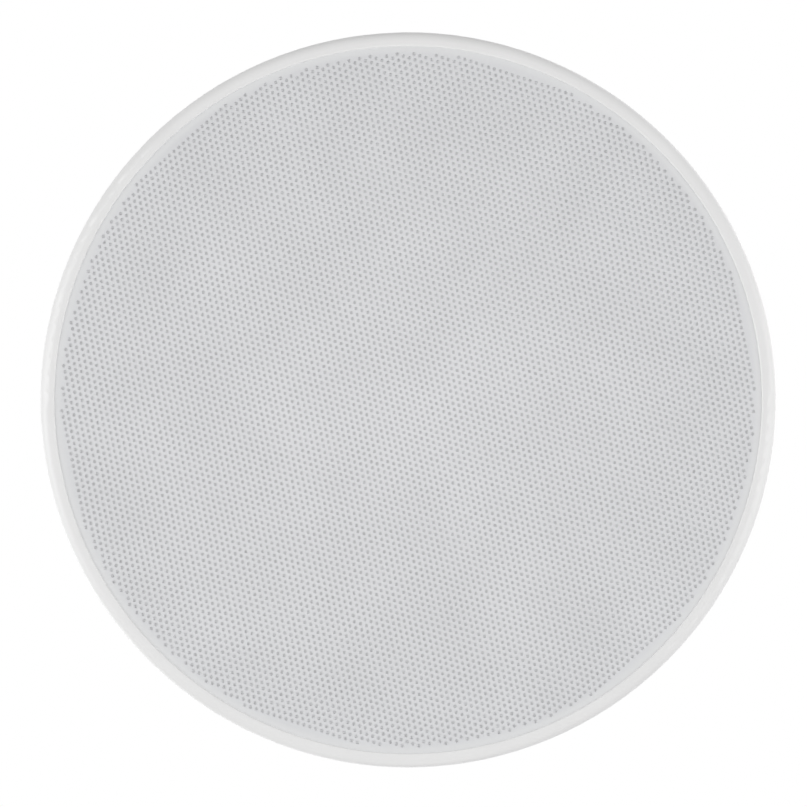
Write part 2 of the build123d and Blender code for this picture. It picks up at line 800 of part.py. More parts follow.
# Swivel ring that turns in the collar, and the ring that keeps it there
with BuildPart() as swivel_ring:
    with BuildSketch(Plane.XY.offset(swivel_front_z)):
        Circle(swivel_radius)
        Circle(swivel_inner_radius, mode=Mode.SUBTRACT)
    extrude(amount=swivel_height)
    with BuildSketch(Plane.YZ):
        with Locations((0, pivot_z)):
            Circle(trunnion_radius + trunnion_fit)
    extrude(amount=swivel_radius, both=True, mode=Mode.SUBTRACT)
save(swivel_ring, "swivel_ring")

with BuildPart() as swivel_retainer:
    with BuildSketch(Plane.XY.offset(swivel_front_z - retainer_thickness)):
        Circle(bridge_bore_radius - retainer_fit)
        Circle(bridge_bore_radius - swivel_shoulder_lip, mode=Mode.SUBTRACT)
    extrude(amount=retainer_thickness)
save(swivel_retainer, "swivel_retainer")

# Tweeter cup with its two trunnions
with BuildPart() as tweeter_cup:
    with BuildSketch(Plane.XZ):
        with BuildLine():
            Polyline(
                (0, tweeter_rest_z + tweeter_cup_depth),
                (tweeter_cup_back_radius, tweeter_rest_z + tweeter_cup_depth),
                (tweeter_cup_radius, tweeter_rest_z + tweeter_cup_side),
                (tweeter_cup_radius, tweeter_rest_z),
            )
            offset(amount=tweeter_cup_wall, side=Side.RIGHT, kind=Kind.INTERSECTION)
        make_face()
    revolve(axis=Axis.Z)
    for side in (1, -1):
        with BuildSketch(Plane.YZ.offset(side * (tweeter_cup_radius - tweeter_cup_wall / 2))):
            with Locations((0, pivot_z)):
                Circle(trunnion_radius)
        trunnion_length = swivel_radius - trunnion_end_gap - tweeter_cup_radius + tweeter_cup_wall / 2
        extrude(amount=side * trunnion_length)
save(tweeter_cup, "tweeter_cup")

# Tweeter faceplate with a flared mouth
with BuildPart() as tweeter_faceplate:
    with BuildSketch(Plane.XY.offset(tweeter_front_z)):
        Circle(tweeter_cup_radius)
        Circle(tweeter_dome_radius + tweeter_mouth_gap, mode=Mode.SUBTRACT)
    extrude(amount=tweeter_face_thickness)
    rims = tweeter_faceplate.edges().filter_by(GeomType.CIRCLE).group_by(Axis.Z)[0].sort_by(SortBy.RADIUS)
    chamfer(rims[0], tweeter_mouth_chamfer)
    rims = tweeter_faceplate.edges().filter_by(GeomType.CIRCLE).group_by(Axis.Z)[0].sort_by(SortBy.RADIUS)
    fillet(rims[-1], tweeter_face_round)
save(tweeter_faceplate, "tweeter_faceplate")

# Silk dome with its flat mounting lip
tweeter_dome_edge = tweeter_dome_radius + tweeter_dome_lip
with BuildPart() as tweeter_dome:
    with BuildSketch(Plane.XZ):
        with BuildLine():
            Line((tweeter_dome_edge, tweeter_rest_z), (tweeter_dome_radius, tweeter_rest_z))
            ThreePointArc(*cap_arc(tweeter_dome_radius, tweeter_dome_rise, tweeter_rest_z))
            offset(amount=tweeter_dome_sheet, side=Side.RIGHT)
        make_face()
    revolve(axis=Axis.Z)
save(tweeter_dome, "tweeter_dome")

# Tweeter motor: coil, pole disc, magnet disc and steel yoke cup
with BuildPart() as tweeter_coil:
    with BuildSketch(Plane.XY.offset(tweeter_yoke_z)):
        Circle(tweeter_coil_radius)
        Circle(tweeter_coil_inner_radius, mode=Mode.SUBTRACT)
    extrude(amount=tweeter_coil_height)
save(tweeter_coil, "tweeter_coil")

with BuildPart() as tweeter_pole:
    with BuildSketch(Plane.XY.offset(tweeter_pole_z)):
        Circle(tweeter_pole_radius)
    extrude(amount=tweeter_pole_thickness)
save(tweeter_pole, "tweeter_pole")

with BuildPart() as tweeter_magnet:
    with BuildSketch(Plane.XY.offset(tweeter_magnet_z)):
        Circle(tweeter_magnet_radius)
    extrude(amount=tweeter_magnet_thickness)
save(tweeter_magnet, "tweeter_magnet")

with BuildPart() as tweeter_yoke:
    with BuildSketch(Plane.XY.offset(tweeter_yoke_z)):
        Circle(tweeter_yoke_radius)
    extrude(amount=tweeter_floor_z + tweeter_yoke_floor - tweeter_yoke_z)
    with BuildSketch(Plane.XY.offset(tweeter_yoke_z)):
        Circle(tweeter_yoke_inner_radius)
    extrude(amount=tweeter_floor_z - tweeter_yoke_z, mode=Mode.SUBTRACT)
save(tweeter_yoke, "tweeter_yoke")

# Crossover board on its two posts and its tab
with BuildPart() as crossover_board:
    with BuildSketch(service_plane(collar_height)) as board_outline:
        with Locations((board_middle, 0)):
            Rectangle(board_width, board_length)
        fillet(board_outline.vertices(), board_corner)
        with Locations(*board_posts, board_tab_place):
            Circle(screw_radius + screw_fit, mode=Mode.SUBTRACT)
    extrude(amount=board_thickness)
save(crossover_board, "crossover_board")

with BuildPart() as air_core_coil:
    with BuildSketch(service_plane(board_top_z)):
        with Locations(board_place(air_coil_place)):
            Circle(air_coil_radius)
            Circle(air_coil_inner_radius, mode=Mode.SUBTRACT)
    extrude(amount=air_coil_height)
    coil_rims = air_core_coil.edges().filter_by(GeomType.CIRCLE).group_by(Axis.Z)[-1]
    fillet(coil_rims, air_coil_round)
save(air_core_coil, "air_core_coil")

with BuildPart() as drum_core:
    with BuildSketch(service_plane(board_top_z)):
        with Locations(board_place(drum_place)):
            Circle(drum_radius)
    extrude(amount=drum_height)
    with BuildSketch(service_plane(board_top_z + drum_flange)):
        with Locations(board_place(drum_place)):
            Circle(drum_radius)
            Circle(drum_waist_radius, mode=Mode.SUBTRACT)
    extrude(amount=drum_height - 2 * drum_flange, mode=Mode.SUBTRACT)
save(drum_core, "drum_core")

with BuildPart() as drum_winding:
    with BuildSketch(service_plane(board_top_z + drum_flange)):
        with Locations(board_place(drum_place)):
            Circle(drum_winding_radius)
            Circle(drum_waist_radius + glue_gap, mode=Mode.SUBTRACT)
    extrude(amount=drum_height - 2 * drum_flange)
save(drum_winding, "drum_winding")

can_level = service_plane(board_top_z + can_radius + can_seat_gap)
can_middle = can_level.from_local_coords(board_place(can_place))
can_plane = Plane(origin=can_middle, x_dir=can_level.x_dir, z_dir=can_level.y_dir)
with BuildPart() as electrolytic_capacitor:
    with BuildSketch(can_plane):
        Circle(can_radius)
    extrude(amount=can_length / 2, both=True)
    with BuildSketch(can_plane.offset(can_length / 2 - can_crimp_inset)):
        Circle(can_radius)
        Circle(can_radius - can_crimp_depth, mode=Mode.SUBTRACT)
    extrude(amount=can_crimp_depth, both=True, mode=Mode.SUBTRACT)
save(electrolytic_capacitor, "electrolytic_capacitor")

with BuildPart() as film_capacitor:
    with BuildSketch(service_plane(board_top_z)):
        with Locations(board_place(film_place)):
            Rectangle(film_size[0], film_size[1])
    extrude(amount=film_size[2])
    fillet(film_capacitor.edges().filter_by(Axis.Z), film_round)
    fillet(film_capacitor.faces().sort_by(Axis.Z)[-1].edges(), film_round)
save(film_capacitor, "film_capacitor")

with BuildPart() as resistor:
    with BuildSketch(service_plane(board_top_z)):
        with Locations(board_place(resistor_place)):
            Rectangle(resistor_size[0], resistor_size[1])
    extrude(amount=resistor_size[2])
    chamfer(resistor.faces().sort_by(Axis.Z)[-1].edges(), resistor_round)
save(resistor, "resistor")

# Push terminals: a block with two lever pockets and two wire entries
pocket_depth = lever_depth + lever_travel + lever_floor_gap
entry_level = service_plane(collar_height + wire_slot_rise)
with BuildPart() as terminal_block:
    with BuildSketch(service_plane(collar_height)):
        with Locations((terminal_middle, 0)):
            Rectangle(terminal_width, terminal_length)
    extrude(amount=terminal_height)
    fillet(terminal_block.edges().filter_by(Axis.Z), terminal_round)
    with BuildSketch(service_plane(collar_height)):
        with Locations((terminal_middle, 0)):
            Rectangle(terminal_foot_width, 2 * (terminal_posts[0][1] + terminal_foot_reach))
    extrude(amount=terminal_foot_height)
    with BuildSketch(service_plane(terminal_top_z)):
        with Locations(*lever_places):
            Rectangle(lever_length + 2 * lever_fit, lever_width + 2 * lever_fit)
    extrude(amount=-pocket_depth, mode=Mode.SUBTRACT)
    entry_middle = entry_level.from_local_coords((terminal_middle, 0))
    with BuildSketch(Plane(origin=entry_middle, x_dir=-entry_level.y_dir, z_dir=-entry_level.x_dir)):
        with Locations((lever_spacing / 2, 0), (-lever_spacing / 2, 0)):
            Rectangle(wire_slot_width, wire_slot_height)
    extrude(amount=terminal_width / 2, mode=Mode.SUBTRACT)
    with BuildSketch(service_plane(collar_height)):
        with Locations(*terminal_posts):
            Circle(screw_radius + screw_fit)
    extrude(amount=terminal_foot_height, mode=Mode.SUBTRACT)
save(terminal_block, "terminal_block")

for colour, place in zip(("red", "black"), lever_places):
    with BuildPart() as terminal_lever:
        with BuildSketch(service_plane(terminal_top_z - lever_depth)):
            with Locations(place):
                Rectangle(lever_length, lever_width)
        extrude(amount=lever_depth + lever_rise)
        fillet(terminal_lever.faces().sort_by(Axis.Z)[-1].edges(), lever_round)
        with BuildSketch(service_plane(terminal_top_z + lever_rise)):
            with Locations(place):
                with GridLocations(lever_groove_pitch, 0, lever_groove_count, 1):
                    Rectangle(lever_groove_width, lever_width)
        extrude(amount=-lever_groove_depth, mode=Mode.SUBTRACT)
    save(terminal_lever, f"terminal_lever_{colour}")

# Small slotted screws: the woofer's and the bridge's go up, the board's and the terminals' go down
bridge_foot_z = basket_front_z - bridge_foot_depth
terminal_foot_z = collar_height + terminal_foot_height
screw_sets = (
    ("woofer_screws", woofer_screw_places, Plane.XY.offset(basket_front_z), 1),
    ("bridge_screws", bridge_screw_places, Plane.XY.offset(bridge_foot_z), 1),
    ("board_screws", [*board_posts, board_tab_place], service_plane(board_top_z), -1),
    ("terminal_screws", terminal_posts, service_plane(terminal_foot_z), -1),
)
for name, places, seat, way in screw_sets:
    with BuildPart() as screws:
        with BuildSketch(seat):
            with Locations(*places):
                Circle(screw_head_radius)
        extrude(amount=-way * screw_head_height)
        with BuildSketch(seat):
            with Locations(*places):
                Circle(screw_radius)
        extrude(amount=way * screw_length)
        with BuildSketch(seat.offset(-way * screw_head_height)):
            with Locations(*places):
                Rectangle(2 * screw_head_radius, screw_slot_width)
        extrude(amount=way * screw_slot_depth, mode=Mode.SUBTRACT)
    save(screws, name)
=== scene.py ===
import json
import math

import bmesh
import bpy
import numpy as np
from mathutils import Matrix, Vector


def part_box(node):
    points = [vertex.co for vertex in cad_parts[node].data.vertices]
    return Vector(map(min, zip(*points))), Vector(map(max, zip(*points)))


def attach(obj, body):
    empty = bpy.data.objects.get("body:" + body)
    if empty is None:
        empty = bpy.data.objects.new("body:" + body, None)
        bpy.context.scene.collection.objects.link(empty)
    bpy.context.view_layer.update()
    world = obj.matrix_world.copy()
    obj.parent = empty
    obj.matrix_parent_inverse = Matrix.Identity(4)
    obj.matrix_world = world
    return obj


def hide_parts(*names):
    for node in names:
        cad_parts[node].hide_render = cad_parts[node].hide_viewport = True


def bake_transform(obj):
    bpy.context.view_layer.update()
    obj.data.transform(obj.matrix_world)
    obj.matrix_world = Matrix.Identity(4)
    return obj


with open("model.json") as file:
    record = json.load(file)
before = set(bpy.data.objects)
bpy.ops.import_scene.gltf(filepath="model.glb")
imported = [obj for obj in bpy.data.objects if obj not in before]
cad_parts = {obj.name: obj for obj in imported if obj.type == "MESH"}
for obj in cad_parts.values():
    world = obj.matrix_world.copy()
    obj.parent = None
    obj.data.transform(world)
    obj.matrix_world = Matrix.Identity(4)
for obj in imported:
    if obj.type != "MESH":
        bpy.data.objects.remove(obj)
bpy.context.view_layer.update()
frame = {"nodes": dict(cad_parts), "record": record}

nodes = frame["nodes"]
slotOf = {row["node"]: row["material_slot"] for row in frame["record"]["subparts"]}
print("frame loaded:", len(nodes), "nodes")


# Bench: selecting, editing and turning

weld = 0.000001  # points closer than this are one


def clearAll():
    if bpy.context.mode != "OBJECT":
        bpy.ops.object.mode_set(mode="OBJECT")
    bpy.ops.object.select_all(action="DESELECT")


def focus(piece):
    clearAll()
    piece.select_set(True)
    bpy.context.view_layer.objects.active = piece


def edit(piece):
    focus(piece)
    bpy.ops.object.mode_set(mode="EDIT")
    bpy.ops.mesh.select_mode(type="VERT")


def leave():
    bpy.ops.object.mode_set(mode="OBJECT")


def nameActive(name):
    piece = bpy.context.active_object
    piece.name = name
    piece.data.name = name
    return piece


def settle(piece):  # its place goes into the mesh
    focus(piece)
    bpy.ops.object.transform_apply(location=True, rotation=True, scale=True)


def applyAll(piece):
    focus(piece)
    for modifier in list(piece.modifiers):
        bpy.ops.object.modifier_apply(modifier=modifier.name)


def smooth(piece, degrees):
    focus(piece)
    bpy.ops.object.shade_smooth_by_angle(angle=math.radians(degrees))


def closeMesh(piece, gap=weld):  # merges the seam and turns the faces outwards
    edit(piece)
    bpy.ops.mesh.select_all(action="SELECT")
    bpy.ops.mesh.remove_doubles(threshold=gap)
    bpy.ops.mesh.normals_make_consistent(inside=False)
    if bmesh.from_edit_mesh(piece.data).calc_volume(signed=True) < 0:  # tiny shells can turn in
        bpy.ops.mesh.flip_normals()
    leave()


def arc(centre, radius, start, end, count):  # points in (radius, height), angles in degrees
    turns = np.radians(np.linspace(start, end, count))
    return [(centre[0] + radius * math.cos(t), centre[1] + radius * math.sin(t)) for t in turns]


def section(name, outline):  # a line of points in (radius, height), on the XZ plane
    clearAll()
    bpy.ops.mesh.primitive_plane_add(size=0.001, location=(0, 0, 0))
    piece = nameActive(name)
    edit(piece)
    bpy.ops.mesh.select_all(action="SELECT")
    bpy.ops.mesh.merge(type="CENTER")
    points = [Vector((r, 0, z)) for r, z in outline]
    bpy.ops.transform.translate(value=points[0])
    for before, after in zip(points, points[1:]):
        bpy.ops.mesh.extrude_region_move(TRANSFORM_OT_translate={"value": after - before})
    bpy.ops.mesh.select_all(action="SELECT")
    bpy.ops.mesh.remove_doubles(threshold=weld / 2)
    leave()
    return piece


def lathe(name, outline, steps):
    piece = section(name, outline)
    edit(piece)
    bpy.ops.mesh.select_all(action="SELECT")
    bpy.ops.mesh.spin(steps=steps, angle=2 * math.pi, center=(0, 0, 0), axis=(0, 0, 1))
    leave()
    closeMesh(piece)
    return piece


def copyTo(piece, name, place):  # a copy with its own mesh
    focus(piece)
    bpy.ops.object.duplicate(linked=False)
    copy = nameActive(name)
    copy.location = place
    settle(copy)
    return copy


def cover(piece, slot, *replaced):
    piece.data.materials.clear()
    piece.data.materials.append(finishes[slot])
    if replaced:
        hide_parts(*replaced)


def dress(piece, slot, body, *replaced):
    cover(piece, slot, *replaced)
    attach(piece, body)


# Finishes

def tone(red, green, blue):  # a screen colour as the shader's linear one
    def linear(value):
        value = value / 255
        return value / 12.92 if value <= 0.04045 else ((value + 0.055) / 1.055) ** 2.4
    return (linear(red), linear(green), linear(blue), 1)


class Wire:
    def __init__(self, socket):
        self.socket = socket
        self.tree = socket.id_data

    def maths(self, operation, *values):
        node = self.tree.nodes.new("ShaderNodeMath")
        node.operation = operation
        for slot, value in zip(node.inputs, values):
            if isinstance(value, Wire):
                self.tree.links.new(value.socket, slot)
            else:
                slot.default_value = value
        return Wire(node.outputs[0])

    def __add__(self, other):
        return self.maths("ADD", self, other)

    def __sub__(self, other):
        return self.maths("SUBTRACT", self, other)

    def __rsub__(self, other):
        return self.maths("SUBTRACT", other, self)

    def __mul__(self, other):
        return self.maths("MULTIPLY", self, other)

    def __pow__(self, other):
        return self.maths("POWER", self, other)

    def sine(self):
        return self.maths("SINE", self)

    __radd__ = __add__
    __rmul__ = __mul__


class Finish:
    def __init__(self, name, constants):
        self.material = bpy.data.materials.new(name)
        self.material.use_nodes = True
        self.tree = self.material.node_tree
        self.shader = self.tree.nodes["Principled BSDF"]
        for socket, value in constants.items():
            self.shader.inputs[socket].default_value = value
        self.place = self.add("ShaderNodeTexCoord", output="Object")

    def add(self, kind, settings=None, sockets=None, output=0):
        node = self.tree.nodes.new(kind)
        for name, value in (settings or {}).items():
            setattr(node, name, value)
        for socket, value in (sockets or {}).items():
            self.plug(node.inputs[socket], value)
        return Wire(node.outputs[output])

    def plug(self, slot, value):
        if isinstance(value, Wire):
            self.tree.links.new(value.socket, slot)
        else:
            slot.default_value = value

    def feed(self, socket, value):
        self.plug(self.shader.inputs[socket], value)

    def noise(self, scale, detail=2.0, roughness=0.5):
        sockets = {"Vector": self.place, "Scale": scale, "Detail": detail, "Roughness": roughness}
        return self.add("ShaderNodeTexNoise", {}, sockets)

    def axes(self):
        node = self.tree.nodes.new("ShaderNodeSeparateXYZ")
        self.plug(node.inputs[0], self.place)
        return [Wire(socket) for socket in node.outputs]

    def mix(self, factor, first, second):
        return self.add("ShaderNodeMix", {"data_type": "RGBA"}, {0: factor, 6: first, 7: second}, 2)

    def span(self, value, low, high):  # 0 at low and 1 at high, clamped
        sockets = {"Value": value, "From Min": low, "From Max": high}
        return self.add("ShaderNodeMapRange", {"clamp": True}, sockets)

    def reach(self):  # distance from the speaker's axis
        x, y = self.axes()[:2]
        return (x * x + y * y) ** 0.5

    def bump(self, height, strength, depth):
        sockets = {"Height": height, "Strength": strength, "Distance": depth}
        self.feed("Normal", self.add("ShaderNodeBump", {}, sockets))


mouldedUsual = {"cloud": 60, "roughSpread": 0.12, "bump": 0.25, "depth": 0.00004}


def moulded(name, look):  # injection moulded plastic: spark texture and faint flow clouds
    look = mouldedUsual | look
    finish = Finish(name, {"IOR": 1.5})
    grain = finish.noise(look["grain"], 3.0)
    cloud = finish.noise(look["cloud"], 3.0)
    finish.feed("Base Color", finish.mix(cloud, look["dark"], look["light"]))
    finish.feed("Roughness", look["rough"] + (grain - 0.5) * look["roughSpread"])
    finish.bump(grain, look["bump"], look["depth"])
    return finish.material


paintedUsual = {
    "cloud": 35, "nibScale": 2.7, "nibLow": 0.66, "nibHigh": 0.8, "nibRise": 0.5,
    "roughSpread": 0.14, "bump": 0.2, "depth": 0.00005,
}


def painted(name, look):  # sprayed or powder coat: orange peel and dust nibs
    look = paintedUsual | look
    finish = Finish(name, {"IOR": 1.5})
    peel = finish.noise(look["peel"], 2.0)
    cloud = finish.noise(look["cloud"], 2.0)
    dust = finish.noise(look["peel"] * look["nibScale"], 1.0)
    nibs = finish.span(dust, look["nibLow"], look["nibHigh"])
    colour = finish.mix(cloud, look["dark"], look["light"])
    if "border" in look:  # painted highlight: the plain border is coloured lighter, standing in for light thrown onto it from the bezel
        far = finish.span(finish.reach(), look["borderStart"], look["borderEnd"])
        colour = finish.mix(far, colour, look["border"])
    finish.feed("Base Color", colour)
    finish.feed("Roughness", look["rough"] + (peel - 0.5) * look["roughSpread"])
    finish.bump(peel + nibs * look["nibRise"], look["bump"], look["depth"])
    return finish.material


platedUsual = {
    "cloud": 90, "fine": 2600, "ringShare": 0.7, "stainLow": 0.35, "stainHigh": 0.65,
    "cloudSpread": 0.2, "fineSpread": 0.15, "bump": 0.15, "depth": 0.00003,
}


def plated(name, look):  # plated or bare metal: stain clouds, fine scratches or turning rings
    look = platedUsual | look
    finish = Finish(name, {"Metallic": 1.0})
    cloud = finish.noise(look["cloud"], 4.0, 0.6)
    fine = finish.noise(look["fine"], 2.0)
    if "turned" in look:
        sockets = {"W": finish.reach() * look["turned"], "Scale": 1.0, "Detail": 3.0}
        ring = finish.add("ShaderNodeTexNoise", {"noise_dimensions": "1D"}, sockets)
        fine = ring * look["ringShare"] + fine * (1 - look["ringShare"])
    stain = finish.span(cloud, look["stainLow"], look["stainHigh"])
    finish.feed("Base Color", finish.mix(stain, look["dark"], look["light"]))
    spread = (cloud - 0.5) * look["cloudSpread"]
    finish.feed("Roughness", look["rough"] + spread + (fine - 0.5) * look["fineSpread"])
    finish.bump(fine, look["bump"], look["depth"])
    return finish.material


wovenUsual = {
    "over": 0.4, "slub": 420, "slubShare": 0.3, "shadeLow": 0.15, "shadeHigh": 0.85,
    "roughSpread": 0.1, "bump": 0.5, "depth": 0.00008,
}


def woven(name, look):  # plain weave over the surface's X and Y
    look = wovenUsual | look
    finish = Finish(name, {"IOR": 1.45})
    x, y = finish.axes()[:2]
    step = 2 * math.pi / look["pitch"]
    warp = (x * step).sine()
    weft = (y * step).sine()
    over = (x * (step / 2)).sine() * (y * (step / 2)).sine()
    thread = finish.span(warp * 0.5 + weft * 0.5 + over * look["over"], -1.0, 1.0)
    slub = finish.noise(look["slub"], 3.0)
    yarn = thread * (1 - look["slubShare"]) + slub * look["slubShare"]
    shade = finish.span(yarn, look["shadeLow"], look["shadeHigh"])
    finish.feed("Base Color", finish.mix(shade, look["dark"], look["light"]))
    finish.feed("Roughness", look["rough"] + (slub - 0.5) * look["roughSpread"])
    finish.bump(thread, look["bump"], look["depth"])
    return finish.material


fleckedUsual = {
    "cloud": 70, "rise": 1.0, "pitScale": 0.5, "roughSpread": 0.14, "bump": 0.2, "depth": 0.00004,
}


def flecked(name, look):  # filled polymer or ceramic: flecks or pits in a dull body
    look = fleckedUsual | look
    finish = Finish(name, {"IOR": 1.5})
    cloud = finish.noise(look["cloud"], 3.0)
    fleck = finish.span(finish.noise(look["fleck"], 1.0), look["low"], look["high"])
    body = finish.mix(cloud, look["dark"], look["light"])
    finish.feed("Base Color", finish.mix(fleck, body, look["spot"]))
    finish.feed("Roughness", look["rough"] + (cloud - 0.5) * look["roughSpread"])
    pits = finish.noise(look["fleck"] * look["pitScale"], 2.0)
    finish.bump(fleck * look["rise"] + pits, look["bump"], look["depth"])
    return finish.material


woundUsual = {
    "cloud": 240, "turnShare": 0.6, "shadeHigh": 1.1, "rough": 0.24, "roughSpread": 0.16,
    "bump": 0.4, "depth": 0.25,  # depth as a share of the wire
}


def wound(name, look):  # enamelled wire laid turn on turn along Z
    look = woundUsual | look
    finish = Finish(name, {"Metallic": 1.0, "Coat Weight": 0.4, "Coat Roughness": 0.15})
    z = finish.axes()[2]
    turn = (z * (2 * math.pi / look["wire"])).sine()
    cloud = finish.noise(look["cloud"], 3.0)
    shade = finish.span(turn * look["turnShare"] + cloud, 0.0, look["shadeHigh"])
    finish.feed("Base Color", finish.mix(shade, look["dark"], look["light"]))
    finish.feed("Roughness", look["rough"] + cloud * look["roughSpread"])
    finish.bump(turn, look["bump"], look["wire"] * look["depth"])
    return finish.material


finishLooks = {
    "white_abs": (moulded, {
        "dark": tone(231, 231, 231), "light": tone(236, 236, 236),
        "rough": 0.42, "grain": 2400, "depth": 0.00003,
    }),
    "grille_paint": (painted, {
        "dark": tone(212, 213, 215), "light": tone(224, 225, 227),
        "rough": 0.46, "peel": 1500,
        # painted highlight: a lighter tone on the plain border, standing in for light thrown onto it
        # from the bezel
        "border": tone(224, 225, 226), "borderStart": 0.1106, "borderEnd": 0.1119,
    }),
    "scrim_cloth": (woven, {
        "dark": tone(239, 239, 240), "light": tone(252, 252, 253),
        "rough": 0.85, "pitch": 0.00032,
    }),
    "magnet_nickel": (plated, {
        "dark": tone(176, 172, 164), "light": tone(206, 203, 196),
        "rough": 0.2,
    }),
    "zinc_steel": (plated, {
        "dark": tone(150, 150, 142), "light": tone(196, 198, 202),
        "rough": 0.34, "cloud": 160,
    }),
    "nut_brass": (plated, {
        "dark": tone(158, 124, 66), "light": tone(206, 174, 104),
        "rough": 0.32,
    }),
    "arm_nylon": (moulded, {
        "dark": tone(214, 212, 204), "light": tone(226, 224, 217),
        "rough": 0.48, "grain": 1800, "bump": 0.4,
    }),
    "basket_paint": (painted, {
        "dark": tone(22, 22, 23), "light": tone(30, 30, 31),
        "rough": 0.4, "peel": 900, "bump": 0.3,
    }),
    "surround_rubber": (moulded, {
        "dark": tone(26, 26, 27), "light": tone(38, 38, 39),
        "rough": 0.62, "grain": 1500,
    }),
    "cone_poly": (flecked, {
        "dark": tone(38, 39, 41), "light": tone(47, 48, 50), "spot": tone(92, 94, 98),
        "rough": 0.42, "fleck": 2600, "low": 0.66, "high": 0.74,
    }),
    "spider_cloth": (woven, {
        "dark": tone(140, 96, 40), "light": tone(206, 162, 88),
        "rough": 0.75, "pitch": 0.0006, "depth": 0.00012,
    }),
    "former_foil": (plated, {
        "dark": tone(176, 178, 181), "light": tone(206, 208, 211),
        "rough": 0.3, "cloud": 220,
    }),
    "copper_wire": (wound, {
        "dark": tone(150, 76, 34), "light": tone(214, 128, 74),
        "wire": 0.0003,
    }),
    "plate_steel": (plated, {
        "dark": tone(168, 169, 171), "light": tone(184, 186, 189),
        "rough": 0.42, "turned": 900, "cloud": 45,
    }),
    "ferrite": (flecked, {
        "dark": tone(46, 46, 48), "light": tone(58, 58, 60), "spot": tone(30, 30, 31),
        "rough": 0.72, "fleck": 1300, "low": 0.64, "high": 0.78, "rise": -1.5, "depth": 0.00008,
    }),
    "tag_board": (moulded, {
        "dark": tone(104, 62, 36), "light": tone(132, 84, 52),
        "rough": 0.55, "grain": 1100, "cloud": 400,
    }),
    "tag_metal": (plated, {
        "dark": tone(170, 162, 142), "light": tone(208, 204, 192),
        "rough": 0.3,
    }),
    "black_abs": (moulded, {
        "dark": tone(24, 24, 25), "light": tone(33, 33, 34),
        "rough": 0.45, "grain": 2000, "bump": 0.3,
    }),
    "dome_silk": (woven, {
        "dark": tone(30, 30, 32), "light": tone(58, 58, 61),
        "rough": 0.6, "pitch": 0.0003,
    }),
    "board_laminate": (woven, {
        "dark": tone(22, 74, 48), "light": tone(34, 98, 66),
        "rough": 0.35, "pitch": 0.0012, "bump": 0.1,
    }),
    "can_sleeve": (moulded, {
        "dark": tone(24, 34, 66), "light": tone(32, 44, 80),
        "rough": 0.3, "grain": 600,
    }),
    "film_box": (moulded, {
        "dark": tone(150, 34, 30), "light": tone(170, 42, 36),
        "rough": 0.36, "grain": 1200,
    }),
    "resistor_cement": (flecked, {
        "dark": tone(214, 210, 200), "light": tone(232, 229, 221), "spot": tone(176, 170, 158),
        "rough": 0.8, "fleck": 1500, "low": 0.64, "high": 0.76, "rise": -1.0,
    }),
    "lever_red": (moulded, {
        "dark": tone(158, 22, 22), "light": tone(184, 28, 26),
        "rough": 0.4, "grain": 1800,
    }),
    "lever_black": (moulded, {
        "dark": tone(22, 22, 23), "light": tone(31, 31, 32),
        "rough": 0.42, "grain": 1800,
    }),
}
finishes = {slot: make(slot, look) for slot, (make, look) in finishLooks.items()}
for name, node in nodes.items():
    node.data.materials.clear()
    node.data.materials.append(finishes[slotOf[name]])
print("finishes made:", len(finishes))


# Camera: straight up at the grille, from under the ceiling

cameraLook = {
    "lens": 100.0,
    "sensor": 36.0,
    "clip": (0.01, 20.0),
    "rimHeight": -0.0028,  # where the bezel is widest
    "rimRadius": 0.118,
    "rimPixels": 367.5,
    "imagePixels": 807,
    "rightPixels": 4.6,  # how far the speaker sits right of the image's middle
    "upPixels": 3.6,
}


def makeCamera(look):
    pixel = look["rimRadius"] / look["rimPixels"]
    distance = look["imagePixels"] * pixel * look["lens"] / look["sensor"]
    bpy.ops.object.camera_add(
        location=(look["rightPixels"] * pixel, -look["upPixels"] * pixel, look["rimHeight"] - distance),
        rotation=(0, math.pi, 0),
    )
    camera = bpy.context.active_object
    camera.name = "photoCamera"
    camera.data.lens = look["lens"]
    camera.data.sensor_width = look["sensor"]
    camera.data.clip_start, camera.data.clip_end = look["clip"]
    bpy.context.scene.camera = camera


clearAll()
makeCamera(cameraLook)


# Perforated grille: one cell, laid out in rows, cut to a disc and given its sheet thickness

grilleLook = {
    "pitch": 0.0020,
    "holeRadius": 0.00058,
    "holeSides": 8,
    "rowAngle": 18.3,
    "front": -0.0056,
    "sheet": 0.0006,
    "holeReach": 0.1108,  # furthest hole from the middle
    "plainReach": 0.1122,  # plain cells fill the rest, drawn in to this circle
    "cellSlack": 0.00002,  # a plain cell that reaches in by less than this goes
    "fieldSmooth": 40,
    "rows": 135,
    "sectors": 3,
    "rimInner": 0.1121,
    "rimRadius": 0.11312,
    "rimRound": 0.00004,
    "rimRoundPoints": 9,
    "rimFillet": 0.0004,  # inside the pan's bend
    "rimFilletPoints": 5,
    "rimDrop": 0.000004,  # just under the plain cells, which it carries on
    "rimFoot": -0.0024,
    "rimSteps": 288,
    "rimSmooth": 35,
}


